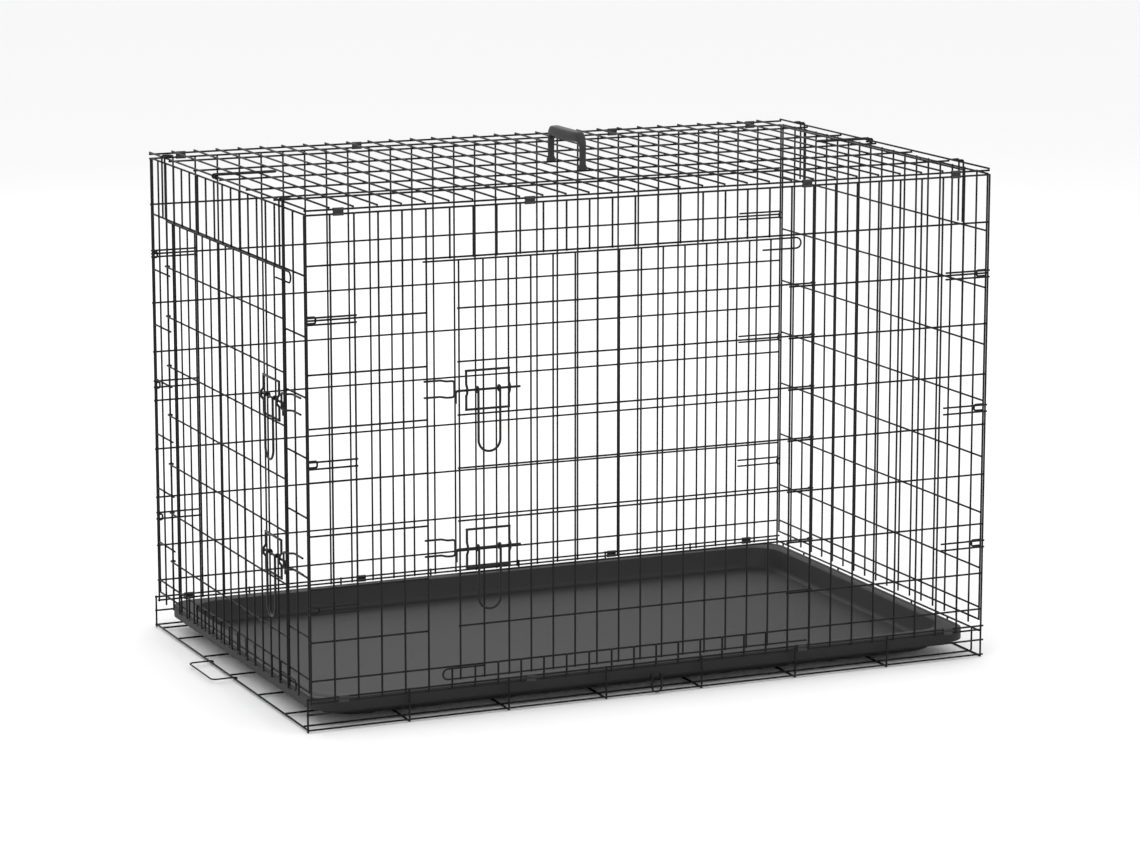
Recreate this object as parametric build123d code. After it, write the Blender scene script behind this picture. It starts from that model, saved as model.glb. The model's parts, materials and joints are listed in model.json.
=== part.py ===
from build123d import *
from math import cos, pi, sin
import os

# A folding wire dog crate: six wire panels, two doors, a plastic tray and a carry handle.
# Millimetres, +Z up. X runs along the crate, Y from the front (long, with a door) to the back.
# The origin is the middle of the whole footprint, at ground level.

# Driving dimensions
LENGTH = 1200.0  # between the end posts of the long panels
WIDTH = 762.0  # between the front and back hinge rails of the base
LEFT = -580.95  # X of the left end posts
FRONT = -373.49  # Y of the front hinge rail
RIGHT = LEFT + LENGTH
BACK = FRONT + WIDTH

# Wire sizes
WIRE = 3.2
DOOR_WIRE = 3.0
HINGE_WIRE = 3.6
LATCH_WIRE = 4.0
KEEPER_WIRE = 3.5
R = WIRE / 2
WELD = 0.02  # crossing wires only meet at their skins
STACK = WIRE + WELD  # centre distance of two crossing wires
GAP = 0.3  # between wires of pieces that move apart
RUN = 0.07  # running clearance of an eye on its wire

# Heights
GROUND_WIRE = R
FLOOR_WIRE = GROUND_WIRE + STACK
LIP_MIDDLE = 30.0
HINGE_RAIL = 54.2
PANEL_BOTTOM = 47.9
PANEL_TOP = 820.0
TOP_LONG = PANEL_TOP + 7.2  # clears the door post as the panels lean
TOP_CROSS = TOP_LONG + STACK

# Long panels: the upright wires stand outside the rails, the level wires behind them
UPRIGHT_OUT = WIRE + GAP
LEVEL_OUT = UPRIGHT_OUT - STACK
PITCH = 39.75
LAST_UPRIGHT = 29
LATCH_POST = 5
DOOR_END = 21
HINGE_POST = 22
HEADER = 741.3
SILL = 83.7
LEVEL_STEP = 85.1
LEVELS = [HEADER - n * LEVEL_STEP for n in range(1, 8)]

# Base
BASE_BAYS = 7
BASE_BAY = 171.4
BASE_END = 3.7  # the last cross wires stand this far outside the end posts
FLOOR_RUNS = [28.0, 112.0, 240.0, 380.0, 515.0, 650.0, 734.0]
END_RAIL = 44.0

# End panels fit between the long panels
END_FIRST = 3.4
END_LAST = WIDTH - 11.4
END_COUNT = 19
END_STEP = (END_LAST - END_FIRST) / (END_COUNT - 1)
END_TOP = 821.4
END_BOTTOM = 65.0
END_TIP = 51.0
END_HEADER = 726.3
END_SILL = 86.3
END_LEVEL_STEP = 95.4
END_LEVELS = [END_HEADER - n * END_LEVEL_STEP for n in range(1, 7)]
END_LATCH_POST = 2
END_HINGE_POST = 16
LOOP_WIDTH = 15.0
LOOP_REACH = 13.0
LOOP_STEP = 12.0  # beside the post
HOOK_HEIGHTS = [656.2, 429.5, 198.0]
HOOK_HALF = 5.0
HOOK_REACH = 17.0
BACK_HOOK_REACH = 6.0
GUIDE_HALF = 5.5
GUIDE_LENGTH = 83.0

# Doors
DOOR_EYE = HINGE_WIRE / 2 + RUN + DOOR_WIRE / 2  # radius of the centre line of a hinge eye
DOOR_FRONT_OF_EYE = DOOR_EYE + DOOR_WIRE + WELD  # the door's upright wires, out from the hinge wire
TURN = 8.6  # half the height of the turned-back ends of the top and bottom wires
DOOR_RUNS = 7
FRONT_DOOR_POSTS = [250.3, 291.5]  # the two upright wires on the latch side
FRONT_DOOR_FIRST = 334.4
FRONT_DOOR_PITCH = 38.33
FRONT_DOOR_COUNT = 13
FRONT_DOOR_LEVEL = 661.3
FRONT_DOOR_TOP = 737.5
FRONT_DOOR_BOTTOM = 65.0
FRONT_TOP_EDGE = (191.5, 850.0)
FRONT_TOP_RETURN = 13.0
FRONT_BOTTOM_START = 6.0
FRONT_BOTTOM_TURN = 221.4
END_DOOR_FIRST = 76.0
END_DOOR_PITCH = 38.64
END_DOOR_COUNT = 15
END_DOOR_LEVEL = 648.0
END_DOOR_TOP = 726.0
END_DOOR_BOTTOM = 57.5
EDGE_START = 13.0  # from the hinge, so that the open end door clears the header
END_EDGE_TURN = 47.5

# Slide-bolt latch, measured from the left side of its frame
FRONT_LATCH = 260.7
FRONT_LATCH_HEIGHTS = (("upper", 530.9), ("lower", 276.3))
FRONT_KEEPER_ROOT = 192.0
END_LATCH = 89.0
END_LATCH_HEIGHTS = (("upper", 517.0), ("lower", 263.0))
END_KEEPER_ROOT = 10.0
BOLT_SLACK = 0.18  # between the bolt and the door
BOLT_BEND = 4.0
NIP_RISE = 5.5
NIP_BEND = 2.6
FRAME_WIDTH = 72.6
FRAME_HALF = 31.0
NIP_HALF = 4.0
BOLT_TIP = -17.9
BOLT_END = 92.0
BOLT_LEG = 20.0
GRIP_START = 19.0
GRIP_WIDTH = 37.0
GRIP_DROP = 99.0
KEEPER_END = -22.0
KEEPER_UP = 17.5
KEEPER_DOWN = -8.5
KEEPER_RISE = 13.0
KEEPER_SLOPE = 6.0

# Tray
TRAY_INSET = 12.0
TRAY_SIDE = 13.5
TRAY_BOTTOM = 9.4
TRAY_RIM_TOP = 47.8
TRAY_SKIRT = 20.0
TRAY_WALL = 2.4
TRAY_BODY_INSET = 36.0
TRAY_BODY_CORNER = 60.0
TRAY_CORNER = 40.0
TRAY_TAPER = 8.0
TRAY_SHIFT = -0.6  # between the two lips, which stand unevenly
RUNNERS = (150.0, 300.0, 520.0, 650.0)  # low ribs the tray slides on, clear of the stop
RUNNER_WIDTH = 6.0
RUNNER_INSET = 80.0

# Sheet clips that join the panels along the fold lines
CLIP_PLACES = [55.0, 376.0, 864.0, 1138.0]
CLIP_LENGTH = 17.0
CLIP_SHEET = 1.2

# Carry handle
HANDLE_X = 585.0
HANDLE_RUNS = (2, 3)
HANDLE_HEIGHT = 62.0

TOP_RUNS = [0.0, 136.0, 266.0, 396.0, 526.0, 656.0, WIDTH]
BAIL_PLACE = 10
BAIL_REACH = 103.0
BAIL_HALF = 6.0
BAIL_EYE = R + RUN + R
STOP_LEGS = (351.0, 471.0)
STOP_HEIGHT = 40.0
STOP_WIRE = 2.6
STOP_BEND = 9.0
FOLD_HOOK_X = 598.0
FOLD_HOOK_HALF = 8.5
FOLD_HOOK_DROP = 17.0

nodes = {}


def front(u, w, z):
    """A point on the front: u along the panel, w outward, z up."""
    return (LEFT + u, FRONT - w, z)


def back(u, w, z):
    """A point on the back panel, which is built like the front one and faces the same way."""
    return (LEFT + u, BACK - w, z)


def left(u, w, z):
    """A point on the left end: u from front to back, w outward, z up."""
    return (LEFT - w, FRONT + u, z)


def right(u, w, z):
    """A point on the right end, outward to +X."""
    return (RIGHT + w, FRONT + u, z)


def rod(start, end, wire=WIRE):
    """A straight wire."""
    run = Vector(*end) - Vector(*start)
    return Solid.make_cylinder(wire / 2, run.length, Plane(origin=start, z_dir=run))


def along(edges, wire=WIRE):
    """A wire along joined edges that run smoothly into each other."""
    path = Wire(edges)
    section = Plane(origin=path @ 0, z_dir=path % 0) * Circle(wire / 2)
    return sweep(section, path=path).solid()


def bent(points, bend, wire=WIRE):
    """A wire through corner points, each rounded to the same bend."""
    path = FilletPolyline(*points, radius=bend)
    section = Plane(origin=path @ 0, z_dir=path % 0) * Circle(wire / 2)
    return sweep(section, path=path).solid()


def line(a, b):
    return Edge.make_line(Vector(*a), Vector(*b))


def arc(spot, first, last):
    """One edge of a circle, where spot(angle) gives its points."""
    middle = (first + last) / 2
    return Edge.make_three_point_arc(spot(first), spot(middle), spot(last))


def node(name, solids):
    nodes[name] = Compound(label=name, children=list(solids))


def end_run(k):
    """Distance from the front rail of an end panel's upright wire."""
    return END_FIRST + k * END_STEP


# ---------------------------------------------------------------- base


def base_places():
    """X of the base's cross wires, from the left end."""
    places = [-BASE_END + n * BASE_BAY for n in range(BASE_BAYS)]
    return places + [LENGTH + BASE_END]


def base_floor():
    """Cross wires on the ground, the long wires on them, and a raised cross wire at the left end."""
    start, end = STACK + R, WIDTH + WIRE - STACK - R - WELD
    places = base_places()
    heights = [FLOOR_WIRE] + [GROUND_WIRE] * (len(places) - 1)
    cross = [rod(front(u, -start, z), front(u, -end, z)) for u, z in zip(places, heights)]
    first, last = R + WELD - BASE_END, LENGTH - BASE_END - WIRE
    long = [rod(front(first, -y, FLOOR_WIRE), front(last, -y, FLOOR_WIRE)) for y in FLOOR_RUNS]
    node("base_floor", cross + long)


def base_lip(name, rail):
    """A turned-up side of the base: the ends of the cross wires and three long wires."""
    y = rail + STACK
    uprights = [
        rod((LEFT + u, y, 0.0), (LEFT + u, y, HINGE_RAIL + R)) for u in base_places()
    ]
    tip = BASE_END + WIRE
    heights = (FLOOR_WIRE, LIP_MIDDLE, HINGE_RAIL)
    rails = [rod((LEFT - tip, rail, z), (RIGHT + tip, rail, z)) for z in heights]
    node(name, uprights + rails)


def base_right_end():
    """The floor's long wires turned up at the right end, and the rail on them."""
    bend = WIRE
    x_start = LENGTH - BASE_END - WIRE + WELD
    x_up = LENGTH + BASE_END - STACK
    runs = []
    for y in FLOOR_RUNS:
        points = [front(x_start, -y, FLOOR_WIRE), front(x_up, -y, FLOOR_WIRE), front(x_up, -y, END_RAIL + R)]
        runs.append(bent(points, bend))
    rail_x = x_up + STACK
    rail = rod(front(rail_x, -2 * STACK - R, END_RAIL), front(rail_x, R - WIDTH, END_RAIL))
    node("base_right_end", runs + [rail])


def fold_hook():
    """A small wire hook that hangs on the front lip and holds the crate shut when folded."""
    eye = BAIL_EYE

    def curl(u):
        return lambda b: front(u, eye * cos(b), LIP_MIDDLE + eye * sin(b))

    low = LIP_MIDDLE - FOLD_HOOK_DROP
    a, b = FOLD_HOOK_X - FOLD_HOOK_HALF, FOLD_HOOK_X + FOLD_HOOK_HALF

    def foot(t):
        return front(FOLD_HOOK_X - FOLD_HOOK_HALF * cos(t), eye, low - FOLD_HOOK_HALF * sin(t))

    edges = [
        arc(curl(a), 1.4 * pi, 0.7 * pi),
        arc(curl(a), 0.7 * pi, 0.0),
        line(front(a, eye, LIP_MIDDLE), front(a, eye, low)),
        arc(foot, 0.0, pi),
        line(front(b, eye, low), front(b, eye, LIP_MIDDLE)),
        arc(curl(b), 0.0, 0.7 * pi),
        arc(curl(b), 0.7 * pi, 1.4 * pi),
    ]
    node("fold_hook", [along(edges)])


def pan_stop():
    """A wire bail on the left end wire, laid down so that the tray can be drawn out."""
    eye = R + RUN + STOP_WIRE / 2
    x = BASE_END

    def curl(u):
        return lambda b: left(u, x + eye * sin(b), FLOOR_WIRE + eye * cos(b))

    top = FLOOR_WIRE + eye
    reach = x + STOP_HEIGHT
    a, b = STOP_LEGS
    turn = STOP_BEND
    corner_a = lambda t: left(a + turn - turn * cos(t), reach - turn + turn * sin(t), top)
    corner_b = lambda t: left(b - turn + turn * sin(t), reach - turn + turn * cos(t), top)
    edges = [
        arc(curl(a), -pi / 2, 0.0),
        line(left(a, x, top), left(a, reach - turn, top)),
        arc(corner_a, 0.0, pi / 2),
        line(left(a + turn, reach, top), left(b - turn, reach, top)),
        arc(corner_b, 0.0, pi / 2),
        line(left(b, reach - turn, top), left(b, x, top)),
        arc(curl(b), 0.0, -pi / 2),
    ]
    node("pan_stop", [along(edges, STOP_WIRE)])


def rounded_slab(x_in, y_in, corner, low, high, taper=0.0):
    """A block with rounded upright corners inside the base, widening upward by taper."""
    length = LENGTH - 2 * x_in
    width = WIDTH - 2 * y_in
    middle = Plane(origin=(LEFT + LENGTH / 2, FRONT + WIDTH / 2 + TRAY_SHIFT, low))
    lower = middle * RectangleRounded(length - 2 * taper, width - 2 * taper, corner)
    upper = middle.offset(high - low) * RectangleRounded(length, width, corner)
    return loft([lower, upper])


def tray():
    """A pressed plastic pan: a tapered well, a flat rim and a skirt round it."""
    step = TRAY_BODY_INSET - TRAY_INSET
    body_side = TRAY_SIDE + step
    well = rounded_slab(TRAY_BODY_INSET, body_side, TRAY_BODY_CORNER, TRAY_BOTTOM, TRAY_RIM_TOP, TRAY_TAPER)
    rim = rounded_slab(TRAY_INSET, TRAY_SIDE, TRAY_CORNER, TRAY_RIM_TOP - TRAY_SKIRT, TRAY_RIM_TOP)
    under = rounded_slab(
        TRAY_INSET + TRAY_WALL, TRAY_SIDE + TRAY_WALL, TRAY_CORNER - TRAY_WALL,
        TRAY_RIM_TOP - TRAY_SKIRT, TRAY_RIM_TOP - TRAY_WALL,
    )
    inside = rounded_slab(
        TRAY_BODY_INSET + TRAY_WALL, body_side + TRAY_WALL, TRAY_BODY_CORNER - TRAY_WALL,
        TRAY_BOTTOM + TRAY_WALL, TRAY_RIM_TOP, TRAY_TAPER,
    )
    pan = (rim - under) + well - inside
    low = FLOOR_WIRE + R + GAP
    high = TRAY_BOTTOM + TRAY_WALL / 2
    for y in RUNNERS:
        spot = (LEFT + LENGTH / 2, FRONT + y, (low + high) / 2)
        pan += Pos(*spot) * Box(LENGTH - 2 * RUNNER_INSET, RUNNER_WIDTH, high - low)
    node("tray", [pan.solid()])


# ---------------------------------------------------------------- long panels


def uprights(at, places, low, high):
    return [rod(at(u, UPRIGHT_OUT, low), at(u, UPRIGHT_OUT, high)) for u in places]


def levels(at, heights, start, end):
    return [rod(at(start, LEVEL_OUT, z), at(end, LEVEL_OUT, z)) for z in heights]


def front_panel():
    """The front panel is built round its doorway: two side meshes, a header and a sill."""
    low, high = PANEL_BOTTOM - R, PANEL_TOP + R
    latch_side = [k * PITCH for k in range(LATCH_POST + 1)]
    hinge_side = [k * PITCH for k in range(DOOR_END, LAST_UPRIGHT + 1) if k != HINGE_POST] + [LENGTH]
    doorway = [k * PITCH for k in range(LATCH_POST + 1, DOOR_END)]
    post = UPRIGHT_OUT + (HINGE_WIRE - WIRE) / 2
    hinge = rod(
        front(HINGE_POST * PITCH, post, low), front(HINGE_POST * PITCH, post, high), HINGE_WIRE
    )
    left_levels = levels(front, LEVELS, -R, latch_side[-1] + R)
    node("front_left_mesh", uprights(front, latch_side, low, high) + left_levels)
    start = DOOR_END * PITCH - R
    node(
        "front_right_mesh",
        uprights(front, hinge_side, low, high) + levels(front, LEVELS, start, LENGTH + R) + [hinge],
    )
    header = levels(front, (HEADER, PANEL_TOP), -R, LENGTH + R)
    node("front_header", header + uprights(front, doorway, HEADER - R, high))
    sill = levels(front, (PANEL_BOTTOM, SILL), -R, LENGTH + R)
    node("front_sill", sill + uprights(front, doorway, low, SILL + R))


def back_panel():
    """The back panel has the same wires and no doorway."""
    places = [k * PITCH for k in range(LAST_UPRIGHT + 1)] + [LENGTH]
    heights = [PANEL_BOTTOM, SILL] + LEVELS + [HEADER, PANEL_TOP]
    low, high = PANEL_BOTTOM - R, PANEL_TOP + R
    node("back_mesh", uprights(back, places, low, high))
    node("back_levels", levels(back, heights, -R, LENGTH + R))


def slot_guides(name, at, out):
    """Pairs of short wires near each corner, which keep an end panel's hooks in line."""
    pieces = []
    for z in HOOK_HEIGHTS:
        for side in (GUIDE_HALF, -GUIDE_HALF):
            pieces.append(rod(at(-R, out, z + side), at(GUIDE_LENGTH - R, out, z + side)))
            pieces.append(rod(at(LENGTH - GUIDE_LENGTH + R, out, z + side), at(LENGTH + R, out, z + side)))
    node(name, pieces)


def clip(at, u, loose, tight):
    """A folded sheet sleeve round two wires: a running fit on one, a tight one on the other."""
    outer = R + RUN + CLIP_SHEET
    start = at(u - CLIP_LENGTH / 2, *loose)
    end = at(u - CLIP_LENGTH / 2, *tight)
    plane_a = Plane(origin=start, z_dir=(1, 0, 0))
    plane_b = Plane(origin=end, z_dir=(1, 0, 0))
    lobe_a = Solid.make_cylinder(outer, CLIP_LENGTH, plane_a)
    lobe_b = Solid.make_cylinder(outer, CLIP_LENGTH, plane_b)
    gap = Vector(*end) - Vector(*start)
    middle = Vector(*start) + gap * 0.5
    web_plane = Plane(origin=middle, x_dir=gap, z_dir=(1, 0, 0))
    web = extrude(web_plane * Rectangle(gap.length, 2 * CLIP_SHEET), CLIP_LENGTH)
    hole_a = Solid.make_cylinder(R + RUN, CLIP_LENGTH, plane_a)
    hole_b = Solid.make_cylinder(R + WELD, CLIP_LENGTH, plane_b)
    return (lobe_a + lobe_b + web - hole_a - hole_b).solid()


def clips():
    """Four clips along each of the four fold lines."""
    rail, low = (0.0, HINGE_RAIL), (LEVEL_OUT, PANEL_BOTTOM)
    edge, high = (0.0, TOP_LONG), (LEVEL_OUT, PANEL_TOP)
    node("front_bottom_clips", [clip(front, u, rail, low) for u in CLIP_PLACES])
    node("back_bottom_clips", [clip(back, u, rail, low) for u in CLIP_PLACES])
    node("front_top_clips", [clip(front, u, high, edge) for u in CLIP_PLACES])
    node("back_top_clips", [clip(back, u, high, edge) for u in CLIP_PLACES])


# ---------------------------------------------------------------- top panel


def top_panel():
    """Long wires, with the cross wires welded on top of them."""
    long = [rod(front(-R, -y, TOP_LONG), front(LENGTH + R, -y, TOP_LONG)) for y in TOP_RUNS]
    places = [k * PITCH for k in range(LAST_UPRIGHT + 1)] + [LENGTH]
    cross = [rod(front(u, R, TOP_CROSS), front(u, -WIDTH - R, TOP_CROSS)) for u in places]
    node("top_long_wires", long)
    node("top_cross_wires", cross)


def carry_handle():
    """A moulded grip across two long wires, with a clip foot at each end."""
    y_a, y_b = TOP_RUNS[HANDLE_RUNS[0]], TOP_RUNS[HANDLE_RUNS[1]]
    middle = (y_a + y_b) / 2
    half = (y_b - y_a) / 2
    base = TOP_LONG + R + WELD
    plane = Plane(origin=front(HANDLE_X, -middle, base), x_dir=(0, 1, 0), z_dir=(1, 0, 0))
    outer = [
        (-half - 5, 0), (-half - 5, 38), (-half + 6, HANDLE_HEIGHT), (half - 6, HANDLE_HEIGHT),
        (half + 5, 38), (half + 5, 0),
    ]
    inner = [
        (half - 5, 0), (half - 7, 40), (half - 20, 43),
        (-half + 20, 43), (-half + 7, 40), (-half + 5, 0),
    ]
    shape = plane * make_face(Polyline(*outer, *inner, close=True))
    grip = extrude(shape, 9.0, both=True)
    node("carry_handle", [grip.solid()])


def top_bail(name, at):
    """A wire bail on an end wire, which swings over to hold the end panel."""
    eye = BAIL_EYE
    place = end_run(BAIL_PLACE)
    a, b = place - BAIL_HALF, place + BAIL_HALF
    top = TOP_CROSS + eye

    def curl(u):
        return lambda t: at(u, eye * cos(t), TOP_CROSS + eye * sin(t))

    inner = BAIL_HALF - BAIL_REACH

    def turn(t):
        return at(place - BAIL_HALF * cos(t), inner - BAIL_HALF * sin(t), top)

    edges = [
        arc(curl(a), -0.8 * pi, -0.15 * pi),
        arc(curl(a), -0.15 * pi, 0.5 * pi),
        line(at(a, 0, top), at(a, inner, top)),
        arc(turn, 0.0, pi),
        line(at(b, inner, top), at(b, 0, top)),
        arc(curl(b), 0.5 * pi, -0.15 * pi),
        arc(curl(b), -0.15 * pi, -0.8 * pi),
    ]
    node(name, [along(edges)])


# ---------------------------------------------------------------- end panels


def end_frame(name, at):
    """The outer wires of an end panel: both edges, the bottom and the top."""
    low, high = END_BOTTOM + R + WELD, END_TOP - R - WELD
    sides = [rod(at(u, 0, low), at(u, 0, high)) for u in (END_FIRST, END_LAST)]
    start, end = END_FIRST - R, END_LAST + R
    across = [rod(at(start, 0, z), at(end, 0, z)) for z in (END_BOTTOM, END_TOP)]
    node(name, sides + across)


def end_levels(at, heights, start, end):
    return [rod(at(start, 0, z), at(end, 0, z)) for z in heights]


def left_end_panel():
    """The left end panel is built round its doorway."""
    b = STACK
    start, end = END_FIRST + R + WELD, END_LAST - R - WELD
    latch = end_run(END_LATCH_POST)
    hinge = end_run(END_HINGE_POST)
    outer = [rod(left(end_run(k), b, END_TIP), left(end_run(k), b, END_TOP + R)) for k in (1, 2, 17)]
    post_w = b + (HINGE_WIRE - WIRE) / 2
    post = rod(left(hinge, post_w, END_TIP), left(hinge, post_w, END_TOP + R), HINGE_WIRE)
    sides = end_levels(left, END_LEVELS, start, latch + R) + end_levels(left, END_LEVELS, hinge - R, end)
    node("left_end_mesh", outer + [post] + sides)
    shorts = range(END_LATCH_POST + 1, END_HINGE_POST)
    header = [rod(left(end_run(k), b, END_HEADER - R), left(end_run(k), b, END_TOP + R)) for k in shorts]
    sill = [rod(left(end_run(k), b, END_TIP), left(end_run(k), b, END_SILL + R)) for k in shorts]
    node("left_end_header", header + end_levels(left, [END_HEADER], start, end))
    node("left_end_sill", sill + end_levels(left, [END_SILL], start, end))


def right_end_panel():
    """The right end panel has no doorway."""
    b = STACK
    start, end = END_FIRST + R + WELD, END_LAST - R - WELD
    inner = range(1, END_COUNT - 1)
    wires = [rod(right(end_run(k), b, END_TIP), right(end_run(k), b, END_TOP + R)) for k in inner]
    heights = [END_SILL] + END_LEVELS + [END_HEADER]
    node("right_end_mesh", wires)
    node("right_end_levels", end_levels(right, heights, start, end))


def hinge_loop(at, u, w_leg):
    """A narrow wire loop from the header that turns over the top panel's end wire."""
    eye = BAIL_EYE
    a, b = u - LOOP_WIDTH / 2, u + LOOP_WIDTH / 2
    top = TOP_CROSS + eye
    half = LOOP_WIDTH / 2

    def over(v):
        return lambda t: at(v, w_leg * cos(t), TOP_CROSS + eye * sin(t))

    def turn(t):
        return at(u - half * cos(t), half - LOOP_REACH - half * sin(t), top)

    inner = half - LOOP_REACH
    edges = [
        line(at(a, w_leg, END_HEADER + STACK), at(a, w_leg, TOP_CROSS)),
        arc(over(a), 0.0, pi / 2),
        line(at(a, 0, top), at(a, inner, top)),
        arc(turn, 0.0, pi),
        line(at(b, inner, top), at(b, 0, top)),
        arc(over(b), pi / 2, 0.0),
        line(at(b, w_leg, TOP_CROSS), at(b, w_leg, END_HEADER + STACK)),
    ]
    return along(edges)


def hinge_loops(name, at):
    """Each end panel hangs on two loops."""
    places = (end_run(END_LATCH_POST) + LOOP_STEP, end_run(END_HINGE_POST) + LOOP_STEP)
    node(name, [hinge_loop(at, u, BAIL_EYE) for u in places])


def end_hooks(name, at):
    """Small wire hooks at three heights on both edges of an end panel."""
    pieces = []
    for z in HOOK_HEIGHTS:
        for edge, reach in ((END_FIRST, HOOK_REACH), (END_LAST, BACK_HOOK_REACH)):
            start = -R - WELD
            points = [
                at(edge, start, z + HOOK_HALF), at(edge, -reach, z + HOOK_HALF),
                at(edge, -reach, z - HOOK_HALF), at(edge, start, z - HOOK_HALF),
            ]
            pieces.append(bent(points, 3.0))
    node(name, pieces)


# ---------------------------------------------------------------- doors and latches


def hinged_wire(at, start, hinge_u, hinge_w, z):
    """A level door wire that ends in an eye round the hinge wire."""

    def curl(t):
        return at(hinge_u + DOOR_EYE * sin(t), hinge_w + DOOR_EYE * cos(t), z)

    edges = [
        line(at(start, hinge_w + DOOR_EYE, z), curl(0.0)),
        arc(curl, 0.0, 0.8 * pi),
        arc(curl, 0.8 * pi, 1.6 * pi),
    ]
    return along(edges, DOOR_WIRE)


def door(name, at, hinge_u, hinge_w, places, heights, top, bottom):
    """A door: upright wires outside, level wires with hinge eyes behind them."""
    out = hinge_w + DOOR_FRONT_OF_EYE
    low, high = bottom - DOOR_WIRE / 2, top + DOOR_WIRE / 2
    node(name + "_uprights", [rod(at(u, out, low), at(u, out, high), DOOR_WIRE) for u in places])
    start = places[0] - DOOR_WIRE / 2
    node(name + "_levels", [hinged_wire(at, start, hinge_u, hinge_w, z) for z in heights])


def turned_end(at, far, back_to, corner, w, z, step):
    """A level edge wire of a door, turned back on itself at one end."""
    turn = abs(step) / 2
    side = 1 if corner > far else -1
    centre = corner - side * turn
    lower = z + step / 2

    def bow(t):
        return at(centre + side * turn * sin(t), w, lower - step / 2 * cos(t))

    edges = [line(at(far, w, z), at(centre, w, z)), arc(bow, 0.0, pi / 2), arc(bow, pi / 2, pi)]
    edges.append(line(at(centre, w, z + step), at(back_to, w, z + step)))
    return along(edges, DOOR_WIRE)


def front_door():
    hinge_u = HINGE_POST * PITCH
    hinge_w = UPRIGHT_OUT + (HINGE_WIRE - WIRE) / 2
    places = FRONT_DOOR_POSTS + [FRONT_DOOR_FIRST + n * FRONT_DOOR_PITCH for n in range(FRONT_DOOR_COUNT)]
    heights = [FRONT_DOOR_LEVEL - n * LEVEL_STEP for n in range(DOOR_RUNS)]
    top, bottom = FRONT_DOOR_TOP, FRONT_DOOR_BOTTOM
    door("front_door", front, hinge_u, hinge_w, places, heights, top, bottom)
    w = hinge_w + DOOR_EYE
    start, corner = FRONT_TOP_EDGE
    edge = [
        turned_end(front, start, places[-1] - FRONT_TOP_RETURN, corner, w, top, -2 * TURN),
        turned_end(front, hinge_u - FRONT_BOTTOM_START, places[1], FRONT_BOTTOM_TURN, w, bottom, 2 * TURN),
    ]
    node("front_door_edges", edge)
    skin = hinge_w + DOOR_FRONT_OF_EYE + DOOR_WIRE / 2
    for name, z in FRONT_LATCH_HEIGHTS:
        latch("front_" + name, front, FRONT_LATCH, skin, z)
        keeper("front_" + name + "_keeper", front, FRONT_LATCH, z, FRONT_KEEPER_ROOT, UPRIGHT_OUT + R, skin)


def end_door():
    hinge_u = end_run(END_HINGE_POST)
    hinge_w = STACK + (HINGE_WIRE - WIRE) / 2
    places = [END_DOOR_FIRST + n * END_DOOR_PITCH for n in range(END_DOOR_COUNT)]
    heights = [END_DOOR_LEVEL - n * LEVEL_STEP for n in range(DOOR_RUNS)]
    top, bottom = END_DOOR_TOP, END_DOOR_BOTTOM
    door("end_door", left, hinge_u, hinge_w, places, heights, top, bottom)
    w = hinge_w + DOOR_EYE
    edge = [
        turned_end(left, hinge_u - EDGE_START, places[1], END_EDGE_TURN, w, top, -2 * TURN),
        turned_end(left, hinge_u - EDGE_START, places[1], END_EDGE_TURN, w, bottom, 2 * TURN),
    ]
    node("end_door_edges", edge)
    skin = hinge_w + DOOR_FRONT_OF_EYE + DOOR_WIRE / 2
    for name, z in END_LATCH_HEIGHTS:
        latch("end_" + name, left, END_LATCH, skin, z)
        keeper("end_" + name + "_keeper", left, END_LATCH, z, END_KEEPER_ROOT, STACK + R, skin)


def latch(name, at, u, skin, z):
    """A slide bolt held against the door by a welded frame, with a drop handle on it."""
    r = LATCH_WIRE / 2
    w_frame = skin + WELD + r
    w_bolt = skin + BOLT_SLACK + r
    w_nip = w_bolt + 2 * r + RUN
    side_low, side_high = -FRAME_HALF + r + WELD, FRAME_HALF - r - WELD

    def side(place):
        points = [
            at(u + place, w_frame, z + side_high), at(u + place, w_frame, z + NIP_HALF + NIP_RISE),
            at(u + place, w_nip, z + NIP_HALF), at(u + place, w_nip, z - NIP_HALF),
            at(u + place, w_frame, z - NIP_HALF - NIP_RISE), at(u + place, w_frame, z + side_low),
        ]
        return bent(points, NIP_BEND, LATCH_WIRE)

    bars = [
        rod(at(u - r, w_frame, z + h), at(u + FRAME_WIDTH + r, w_frame, z + h), LATCH_WIRE)
        for h in (-FRAME_HALF, FRAME_HALF)
    ]
    node(name + "_frame", bars + [side(0.0), side(FRAME_WIDTH)])
    tip = u + BOLT_TIP
    path = [at(tip, w_bolt, z - BOLT_LEG), at(tip, w_bolt, z), at(u + BOLT_END, w_bolt, z)]
    node(name + "_bolt", [bent(path, BOLT_BEND, LATCH_WIRE)])
    drop_handle(name + "_handle", at, u + GRIP_START, w_bolt, z)


def drop_handle(name, at, u, w_bolt, z):
    """A U-shaped grip that hangs by two eyes on the bolt."""
    r = LATCH_WIRE / 2
    eye = 2 * r + RUN
    half = GRIP_WIDTH / 2
    low = z - GRIP_DROP + half
    out = w_bolt + eye

    def curl(v):
        return lambda t: at(v, w_bolt + eye * cos(t), z + eye * sin(t))

    def foot(t):
        return at(u + half - half * cos(t), out, low - half * sin(t))

    far = u + GRIP_WIDTH
    edges = [
        arc(curl(u), 1.45 * pi, 0.7 * pi),
        arc(curl(u), 0.7 * pi, 0.0),
        line(at(u, out, z), at(u, out, low)),
        arc(foot, 0.0, pi),
        line(at(far, out, low), at(far, out, z)),
        arc(curl(far), 0.0, 0.7 * pi),
        arc(curl(far), 0.7 * pi, 1.45 * pi),
    ]
    node(name, [along(edges, LATCH_WIRE)])


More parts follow.
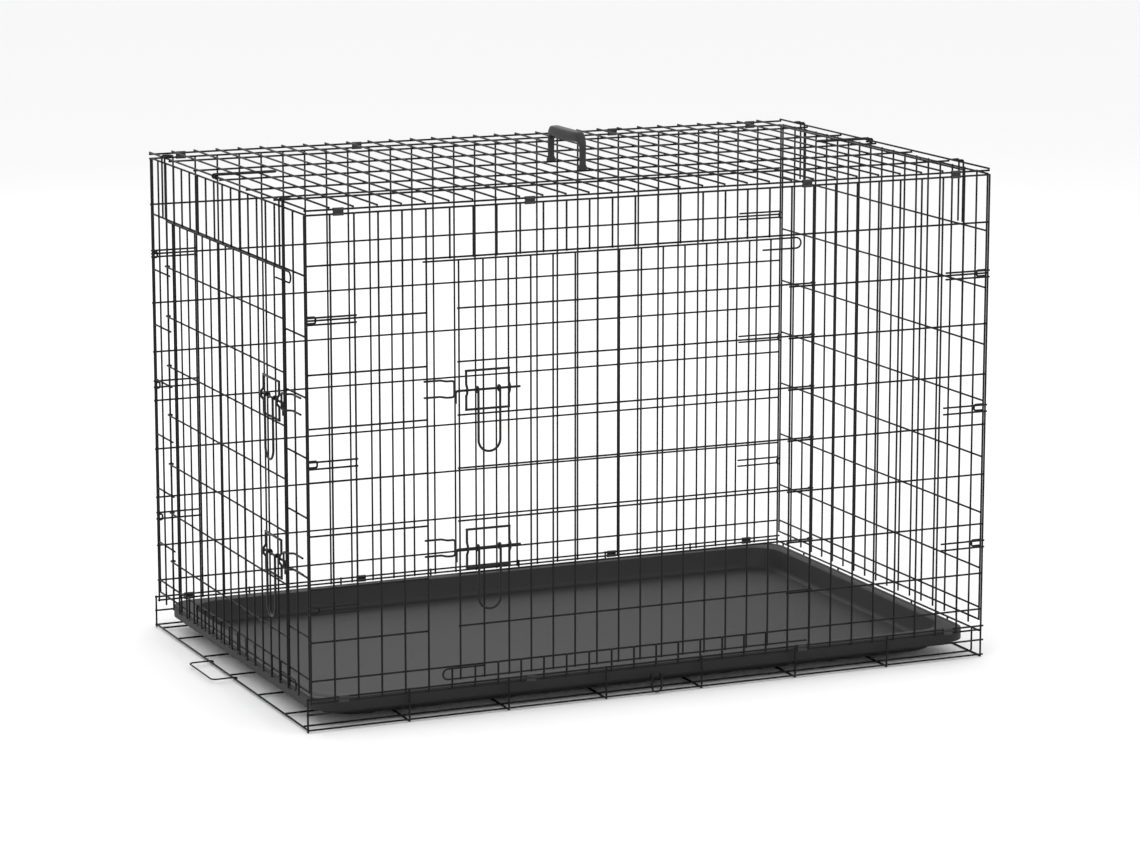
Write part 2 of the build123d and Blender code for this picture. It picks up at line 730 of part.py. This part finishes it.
def keeper(name, at, u, z, root, panel_skin, door_skin):
    """A wire loop welded to the panel that the bolt slides behind."""
    r = KEEPER_WIRE / 2
    w_root = panel_skin + WELD + r
    w_far = door_skin + BOLT_SLACK + LATCH_WIRE + GAP + r
    end = u + KEEPER_END
    bend = end - KEEPER_RISE
    start = bend - KEEPER_SLOPE
    points = [
        at(root, w_root, z + KEEPER_UP), at(start, w_root, z + KEEPER_UP),
        at(bend, w_far, z + KEEPER_UP),
        at(end, w_far, z + KEEPER_UP), at(end, w_far, z + KEEPER_DOWN),
        at(bend, w_far, z + KEEPER_DOWN), at(start, w_root, z + KEEPER_DOWN),
        at(root, w_root, z + KEEPER_DOWN),
    ]
    node(name, [bent(points, BOLT_BEND, KEEPER_WIRE)])


def build():
    base_floor()
    base_lip("base_front_lip", FRONT)
    base_lip("base_back_lip", BACK)
    base_right_end()
    fold_hook()
    pan_stop()
    tray()
    front_panel()
    back_panel()
    slot_guides("front_slot_guides", front, UPRIGHT_OUT + STACK)
    slot_guides("back_slot_guides", back, LEVEL_OUT)
    clips()
    top_panel()
    carry_handle()
    top_bail("left_top_bail", left)
    top_bail("right_top_bail", right)
    end_frame("left_end_frame", left)
    end_frame("right_end_frame", right)
    left_end_panel()
    right_end_panel()
    hinge_loops("left_hinge_loops", left)
    hinge_loops("right_hinge_loops", right)
    end_hooks("left_end_hooks", left)
    end_hooks("right_end_hooks", right)
    front_door()
    end_door()


build()
os.makedirs("parts", exist_ok=True)
for name, shape in nodes.items():
    export_step(shape, "parts/" + name + ".step")
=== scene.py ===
import json
from math import cos, pi, radians, sin

import bmesh
import bpy
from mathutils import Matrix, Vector


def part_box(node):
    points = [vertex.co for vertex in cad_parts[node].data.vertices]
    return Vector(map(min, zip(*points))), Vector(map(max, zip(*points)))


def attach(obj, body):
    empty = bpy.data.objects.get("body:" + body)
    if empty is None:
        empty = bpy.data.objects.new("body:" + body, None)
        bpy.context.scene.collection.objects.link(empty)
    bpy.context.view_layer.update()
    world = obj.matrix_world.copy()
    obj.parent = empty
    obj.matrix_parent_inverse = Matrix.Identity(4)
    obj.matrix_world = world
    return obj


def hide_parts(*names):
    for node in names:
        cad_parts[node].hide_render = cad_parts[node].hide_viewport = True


# A folding wire dog crate. Metres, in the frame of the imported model.
MM = 0.001

# Wires
SIDES = 12
SAME_SPOT = 1e-6  # split vertices of one solid lie closer than this
ROD_LIMIT = 5.0 * MM  # a straight wire is thinner than this both ways
END_ROUND = 0.35  # of the radius, at a cut wire end
END_STEP = 0.3  # of that rounding, at its middle ring
WELD_REACH = 0.15 * MM  # crossing wires whose skins are nearer than this are welded
NUGGET_LONG = 0.8  # of the wire's radius
NUGGET_HIGH = 0.45
NUGGET_SIDES = 8
NUGGET_TILTS = (-75, -40, 0, 40, 75)  # degrees up its rounded side
SHARP = radians(40)  # edges turned more than this are shaded sharp
CLIP_SHARP = radians(60)
CLIP_EDGE = 0.15 * MM
CLIP_STEPS = 2

# Tray
TRAY_WALL = 2.4 * MM
TRAY_RIM = 24.0 * MM  # from the outer edge to the well
TRAY_TAPER = 8.0 * MM
TRAY_CORNER = 40.0 * MM
WELL_CORNER = 60.0 * MM
SKIRT = 20.0 * MM
TRAY_EDGE = 1.2 * MM  # over which its outer edges are softened
CORNER_STEPS = 10
RUNNER_HIGH = 2.68 * MM  # of the ribs under the floor
RUNNER_WIDE = 6.0 * MM
RUNNER_INSET = 68.0 * MM
RUNNER_EDGE = 0.6 * MM
RUNNERS = (136.5, 286.5, 506.5, 636.5)  # from the tray's front edge, in millimetres

# Carry handle: stations from a foot to the middle of the grip, in millimetres. Each is the
# distance from the middle, the height, the thickness and the width.
GRIP = [
    (65.0, 0.0, 9.4, 15.0),
    (65.0, 4.0, 9.4, 14.6),
    (65.0, 9.0, 7.8, 10.4),
    (65.0, 36.0, 8.4, 10.4),
    (63.6, 42.5, 10.0, 12.0),
    (58.0, 49.4, 13.4, 14.6),
    (53.0, 52.2, 16.8, 16.0),
    (46.0, 53.0, 17.6, 17.0),
    (25.0, 52.4, 18.6, 18.0),
    (0.0, 51.9, 19.8, 18.0),
]
GRIP_RING = 20
GRIP_SQUARE = 0.55  # below 1 makes the section squarer

# Finishes
DARKEST, LIGHTEST = 0.75, 1.3  # of the base colour, over the noise
SMOOTHER, ROUGHER = 0.06, 0.08  # taken from and added to the roughness, over the noise
NOISE_DETAIL = 6.0
BUMP_DEPTH = 0.0001

# Camera, light and set
CAMERA_SPOT = (-2.67635, -6.11899, 1.6814)
CAMERA_AZIMUTH = radians(23.85)
CAMERA_DOWN = radians(11.05)
CAMERA_LENS = 126.9
CAMERA_SENSOR = 36.0
CAMERA_REACH = 100.0
FLOOR_HALF = 30.0
FLOOR_COLOUR = (0.93, 0.93, 0.93)
FLOOR_ROUGH = 0.9
WORLD_STRENGTH = 1.0
LAMP_SIZE = 3.0
LAMP_TARGET = (0, 0, 0.4)
LAMPS = (  # name, place, watts
    ("key", (-2.5, -3.0, 4.0), 60),
    ("fill", (3.5, -2.5, 3.0), 30),
    ("back", (0.5, 4.0, 3.5), 40),
)

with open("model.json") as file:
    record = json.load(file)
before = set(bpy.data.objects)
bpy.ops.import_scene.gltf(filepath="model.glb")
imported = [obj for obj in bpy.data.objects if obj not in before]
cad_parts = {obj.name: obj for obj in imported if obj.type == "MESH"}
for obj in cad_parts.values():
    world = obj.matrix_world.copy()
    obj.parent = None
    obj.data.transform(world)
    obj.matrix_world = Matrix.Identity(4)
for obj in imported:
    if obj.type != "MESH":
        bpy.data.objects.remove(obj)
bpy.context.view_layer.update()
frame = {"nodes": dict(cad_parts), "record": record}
record = frame["record"]
bodies = record["behaviour"]["bodies"]
slots = {part["node"]: part["material_slot"] for part in record["subparts"]}
body_of_node = {node: body for body, group in bodies.items() for node in group}


# ---------------------------------------------------------------- materials


def finish(name, colour, rough, grain, relief, shine):
    """A coated or moulded surface: its colour, gloss and relief vary with a fine noise."""
    made = bpy.data.materials.new(name)
    made.use_nodes = True
    tree = made.node_tree
    shader = tree.nodes["Principled BSDF"]
    spot = tree.nodes.new("ShaderNodeTexCoord")
    noise = tree.nodes.new("ShaderNodeTexNoise")
    noise.inputs["Scale"].default_value = grain
    noise.inputs["Detail"].default_value = NOISE_DETAIL
    tree.links.new(spot.outputs["Object"], noise.inputs["Vector"])
    tint = tree.nodes.new("ShaderNodeValToRGB")
    tint.color_ramp.elements[0].color = (*[c * DARKEST for c in colour], 1.0)
    tint.color_ramp.elements[1].color = (*[c * LIGHTEST for c in colour], 1.0)
    tree.links.new(noise.outputs["Fac"], tint.inputs["Fac"])
    tree.links.new(tint.outputs["Color"], shader.inputs["Base Color"])
    gloss = tree.nodes.new("ShaderNodeMapRange")
    gloss.inputs["To Min"].default_value = rough - SMOOTHER
    gloss.inputs["To Max"].default_value = rough + ROUGHER
    tree.links.new(noise.outputs["Fac"], gloss.inputs["Value"])
    tree.links.new(gloss.outputs["Result"], shader.inputs["Roughness"])
    bump = tree.nodes.new("ShaderNodeBump")
    bump.inputs["Strength"].default_value = relief
    bump.inputs["Distance"].default_value = BUMP_DEPTH
    tree.links.new(noise.outputs["Fac"], bump.inputs["Height"])
    tree.links.new(bump.outputs["Normal"], shader.inputs["Normal"])
    shader.inputs["Specular IOR Level"].default_value = shine
    return made


# Colour, roughness, noise scale, strength of the relief, specular level
looks = {
    "coated_wire": finish("coated_wire", (0.010, 0.010, 0.0105), 0.45, 900.0, 0.15, 0.1),
    "latch_wire": finish("latch_wire", (0.009, 0.009, 0.0095), 0.34, 700.0, 0.08, 0.18),
    "clip_steel": finish("clip_steel", (0.016, 0.016, 0.0165), 0.36, 600.0, 0.08, 0.4),
    "tray_plastic": finish("tray_plastic", (0.018, 0.018, 0.0185), 0.55, 1400.0, 0.5, 0.25),
    "handle_plastic": finish("handle_plastic", (0.020, 0.020, 0.0205), 0.5, 1600.0, 0.3, 0.3),
}


# ---------------------------------------------------------------- shapes


def piece(name, mesh, node):
    """Puts a finished mesh in the scene in place of a CAD node."""
    bmesh.ops.recalc_face_normals(mesh, faces=mesh.faces)
    data = bpy.data.meshes.new(name)
    mesh.to_mesh(data)
    mesh.free()
    data.polygons.foreach_set("use_smooth", [True] * len(data.polygons))
    data.set_sharp_from_angle(angle=SHARP)
    data.materials.append(looks[slots[node]])
    made = bpy.data.objects.new(name, data)
    bpy.context.scene.collection.objects.link(made)
    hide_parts(node)
    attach(made, body_of_node[node])


def skin(mesh, rings):
    """Joins rings of points into a closed skin with a face at both ends."""
    rows = [[mesh.verts.new(p) for p in ring] for ring in rings]
    count = len(rows[0])
    for a, b in zip(rows, rows[1:]):
        for i in range(count):
            j = (i + 1) % count
            mesh.faces.new((a[i], a[j], b[j], b[i]))
    mesh.faces.new(rows[0])
    mesh.faces.new(rows[-1])


def solids(node):
    """The separate solids of a CAD node, each as its points and its faces."""
    work = bmesh.new()
    work.from_mesh(node.data)
    work.transform(node.matrix_world)
    bmesh.ops.remove_doubles(work, verts=work.verts, dist=SAME_SPOT)
    seen = set()
    found = []
    for first in work.verts:
        if first in seen:
            continue
        seen.add(first)
        group, queue = [], [first]
        while queue:
            vert = queue.pop()
            group.append(vert)
            for edge in vert.link_edges:
                other = edge.other_vert(vert)
                if other not in seen:
                    seen.add(other)
                    queue.append(other)
        place = {vert: i for i, vert in enumerate(group)}
        faces = {face for vert in group for face in vert.link_faces}
        rows = [[place[v] for v in face.verts] for face in faces]
        corners = sorted(rows, key=sorted)  # a set has no order, and each run gives the same
        found.append(([v.co.copy() for v in group], corners))
    work.free()
    return found


def copy_faces(mesh, points, corners):
    """Adds one solid's points and faces to a mesh."""
    verts = [mesh.verts.new(p) for p in points]
    for row in corners:
        mesh.faces.new([verts[i] for i in row])


def straight(points):
    """(start, end, radius, axis) of a straight wire, or None if the solid is bent."""
    low = Vector([min(p[i] for p in points) for i in range(3)])
    high = Vector([max(p[i] for p in points) for i in range(3)])
    size = high - low
    axis = max(range(3), key=lambda i: size[i])
    thin = [size[i] for i in range(3) if i != axis]
    if max(thin) > ROD_LIMIT:
        return None
    start, end = (low + high) / 2, (low + high) / 2
    start[axis], end[axis] = low[axis], high[axis]
    return start, end, max(thin) / 2, axis


def tube(mesh, start, end, radius, axis):
    """A straight wire with slightly rounded cut ends."""
    across, up = [Vector([float(i == k) for i in range(3)]) for k in range(3) if k != axis]
    run = (end - start).normalized()
    step = END_ROUND * radius
    stations = [
        (start, radius - step),
        (start + run * step * END_STEP, radius - step * END_STEP),
        (start + run * step, radius),
        (end - run * step, radius),
        (end - run * step * END_STEP, radius - step * END_STEP),
        (end, radius - step),
    ]
    angles = [2 * pi * i / SIDES for i in range(SIDES)]
    skin(mesh, [[c + across * r * cos(t) + up * r * sin(t) for t in angles] for c, r in stations])


def nugget(mesh, spot, away, radius):
    """The squeezed metal round a spot weld, flattened between the two wires."""
    helper = Vector((1, 0, 0)) if abs(away.x) < 0.9 else Vector((0, 1, 0))
    side = away.cross(helper).normalized()
    other = away.cross(side)
    long, high = NUGGET_LONG * radius, NUGGET_HIGH * radius
    angles = [2 * pi * i / NUGGET_SIDES for i in range(NUGGET_SIDES)]
    rings = []
    for tilt in NUGGET_TILTS:
        reach, lift = long * cos(radians(tilt)), high * sin(radians(tilt))
        rings.append([
            spot + away * lift + side * reach * cos(t) + other * reach * sin(t) for t in angles
        ])
    skin(mesh, rings)


def crossing(a, b):
    """(spot, direction) where two straight wires touch skin to skin, or None."""
    if a[3] == b[3]:
        return None
    third = 3 - a[3] - b[3]
    spot = Vector((0, 0, 0))
    spot[a[3]] = b[0][a[3]]
    spot[b[3]] = a[0][b[3]]
    for rod, other in ((a, b), (b, a)):
        if not rod[0][rod[3]] <= other[0][rod[3]] <= rod[1][rod[3]]:
            return None
    apart = b[0][third] - a[0][third]
    if not 0 < abs(apart) < a[2] + b[2] + WELD_REACH:
        return None
    away = Vector((0, 0, 0))
    away[third] = 1.0 if apart > 0 else -1.0
    spot[third] = a[0][third] + away[third] * a[2]
    return spot, away


def wire_nodes(body, nodes):
    """A body's wires: straight ones made round and welded where they cross, bent ones copied."""
    meshes = {node: bmesh.new() for node in nodes}
    rods = []
    for node in nodes:
        for points, corners in solids(frame["nodes"][node]):
            rod = straight(points)
            if rod is None:
                copy_faces(meshes[node], points, corners)
                continue
            tube(meshes[node], *rod)
            rods.append((node, rod))
    for i, (node, rod) in enumerate(rods):
        for _, other in rods[i + 1:]:
            weld = crossing(rod, other)
            if weld:
                nugget(meshes[node], weld[0], weld[1], min(rod[2], other[2]))
    for node in nodes:
        piece(node + "_wires", meshes[node], node)


def rounded(low, high, inset, corner, z):
    """A ring of points round a rectangle with rounded corners."""
    x, y = (high.x - low.x) / 2 - inset, (high.y - low.y) / 2 - inset
    middle = (low + high) / 2
    ring = []
    for quarter, (sx, sy) in enumerate(((1, 1), (-1, 1), (-1, -1), (1, -1))):
        for i in range(CORNER_STEPS + 1):
            t = pi / 2 * (quarter + i / CORNER_STEPS)
            spot = (sx * (x - corner) + corner * cos(t), sy * (y - corner) + corner * sin(t))
            ring.append(Vector((middle.x + spot[0], middle.y + spot[1], z)))
    return ring


def tray():
    """The pan and the ribs under it."""
    low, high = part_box("tray")
    base = low.z + RUNNER_HIGH
    w, top, rim, taper = TRAY_WALL, high.z, TRAY_RIM, TRAY_TAPER
    foot, soft = high.z - SKIRT, TRAY_EDGE
    out, well = TRAY_CORNER, WELL_CORNER
    profile = [  # inset from the tray's box, corner radius, height
        # the underside, from the floor outward
        (rim + taper + 6 * MM, well, base),
        (rim + taper + 1.5 * MM, well, base + 0.6 * MM),
        (rim + taper - 1 * MM, well, base + 4 * MM),
        (rim, well, top - w - 3 * MM),
        (rim - 2 * MM, well, top - w),
        # down the skirt inside and up it outside
        (w + soft, out - w, top - w),
        (w, out - w, top - w - soft),
        (w, out - w, foot + 0.3 * MM),
        (w - 0.3 * MM, out - w, foot),
        (0.3 * MM, out, foot),
        (0.0, out, foot + 0.3 * MM),
        (0.0, out, top - 2 * soft),
        (0.35 * MM, out, top - soft),
        # across the rim and its groove
        (soft, out, top - 0.3 * MM),
        (2 * soft, out, top),
        (7 * MM, out + 4 * MM, top),
        (8 * MM, out + 4 * MM, top - 0.7 * MM),
        (10 * MM, out + 4 * MM, top - 0.7 * MM),
        (11 * MM, out + 5 * MM, top),
        # down into the well
        (rim + w - 3 * MM, well - w, top),
        (rim + w - 0.8 * MM, well - w, top - 0.6 * MM),
        (rim + w, well - w, top - 2.5 * MM),
        (rim + w + taper - 2 * MM, well - w, base + w + 7 * MM),
        (rim + w + taper + 1 * MM, well - w, base + w + 2 * MM),
        (rim + w + taper + 5 * MM, well - w, base + w + 0.3 * MM),
        (rim + w + taper + 9 * MM, well - w, base + w),
    ]
    mesh = bmesh.new()
    skin(mesh, [rounded(low, high, inset, corner, z) for inset, corner, z in profile])
    for place in RUNNERS:
        y, half, edge = low.y + place * MM, RUNNER_WIDE / 2, RUNNER_EDGE
        section = [
            (-half, base + w / 2), (-half, low.z + edge), (edge - half, low.z),
            (half - edge, low.z), (half, low.z + edge), (half, base + w / 2),
        ]
        ends = (low.x + RUNNER_INSET, high.x - RUNNER_INSET)
        skin(mesh, [[Vector((x, y + v, z)) for v, z in section] for x in ends])
    piece("tray_pan", mesh, "tray")


def carry_handle():
    """The grip: one squarish section carried over the arch from foot to foot."""
    low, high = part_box("carry_handle")
    middle = (low + high) / 2
    stations = [(-y, z, thick, wide) for y, z, thick, wide in GRIP] + GRIP[-2::-1]
    spots = [Vector((middle.x, middle.y + s[0] * MM, low.z + s[1] * MM)) for s in stations]
    rings = []
    for i, (_, _, thick, wide) in enumerate(stations):
        run = (spots[min(i + 1, len(spots) - 1)] - spots[max(i - 1, 0)]).normalized()
        out = Vector((1, 0, 0)).cross(run)
        ring = []
        for k in range(GRIP_RING):
            t = 2 * pi * k / GRIP_RING
            c, s = cos(t), sin(t)
            a = abs(c) ** GRIP_SQUARE * (1 if c > 0 else -1) * wide * MM / 2
            b = abs(s) ** GRIP_SQUARE * (1 if s > 0 else -1) * thick * MM / 2
            ring.append(spots[i] + Vector((a, 0, 0)) + out * b)
        rings.append(ring)
    mesh = bmesh.new()
    skin(mesh, rings)
    piece("carry_handle_grip", mesh, "carry_handle")


def clip_row(node):
    """Sheet clips with softened edges."""
    mesh = bmesh.new()
    for points, corners in solids(frame["nodes"][node]):
        copy_faces(mesh, points, corners)
    mesh.normal_update()
    folded = [e for e in mesh.edges if len(e.link_faces) == 2]
    sharp = [e for e in folded if e.calc_face_angle() > CLIP_SHARP]
    bmesh.ops.bevel(mesh, geom=sharp, offset=CLIP_EDGE, segments=CLIP_STEPS, affect="EDGES")
    piece(node + "_sheet", mesh, node)


# ---------------------------------------------------------------- the crate

for body, group in bodies.items():
    wires = [n for n in group if n not in ("tray", "carry_handle") and not n.endswith("clips")]
    if wires:
        wire_nodes(body, wires)
    for clips in (n for n in group if n.endswith("clips")):
        clip_row(clips)
tray()
carry_handle()


# ---------------------------------------------------------------- the set


def plain(name, colour, rough):
    """A flat matte colour for the set."""
    made = bpy.data.materials.new(name)
    made.use_nodes = True
    shader = made.node_tree.nodes["Principled BSDF"]
    shader.inputs["Base Color"].default_value = (*colour, 1.0)
    shader.inputs["Roughness"].default_value = rough
    return made


def lamp(name, spot, power):
    """A soft panel of light aimed near the crate's middle."""
    data = bpy.data.lights.new(name, "AREA")
    data.size = LAMP_SIZE
    data.energy = power
    made = bpy.data.objects.new(name, data)
    made.location = spot
    made.rotation_euler = (Vector(LAMP_TARGET) - Vector(spot)).to_track_quat("-Z", "Y").to_euler()
    bpy.context.scene.collection.objects.link(made)


ground = bmesh.new()
corners = [(-1, -1), (1, -1), (1, 1), (-1, 1)]
ground.faces.new([ground.verts.new((x * FLOOR_HALF, y * FLOOR_HALF, 0)) for x, y in corners])
ground_data = bpy.data.meshes.new("floor")
ground.to_mesh(ground_data)
ground.free()
ground_data.materials.append(plain("floor", FLOOR_COLOUR, FLOOR_ROUGH))
floor = bpy.data.objects.new("floor", ground_data)
bpy.context.scene.collection.objects.link(floor)

for name, spot, power in LAMPS:
    lamp(name, spot, power)

world = bpy.data.worlds.new("studio")
world.use_nodes = True
world.node_tree.nodes["Background"].inputs["Color"].default_value = (1.0, 1.0, 1.0, 1.0)
world.node_tree.nodes["Background"].inputs["Strength"].default_value = WORLD_STRENGTH
bpy.context.scene.world = world
bpy.context.scene.view_settings.view_transform = "Standard"

camera_data = bpy.data.cameras.new("camera")
camera_data.lens = CAMERA_LENS
camera_data.sensor_width = CAMERA_SENSOR
camera_data.clip_end = CAMERA_REACH
camera = bpy.data.objects.new("camera", camera_data)
camera.location = CAMERA_SPOT
level = cos(CAMERA_DOWN)
ahead = Vector((sin(CAMERA_AZIMUTH) * level, cos(CAMERA_AZIMUTH) * level, -sin(CAMERA_DOWN)))
camera.rotation_euler = ahead.to_track_quat("-Z", "Y").to_euler()
bpy.context.scene.collection.objects.link(camera)
bpy.context.scene.camera = camera
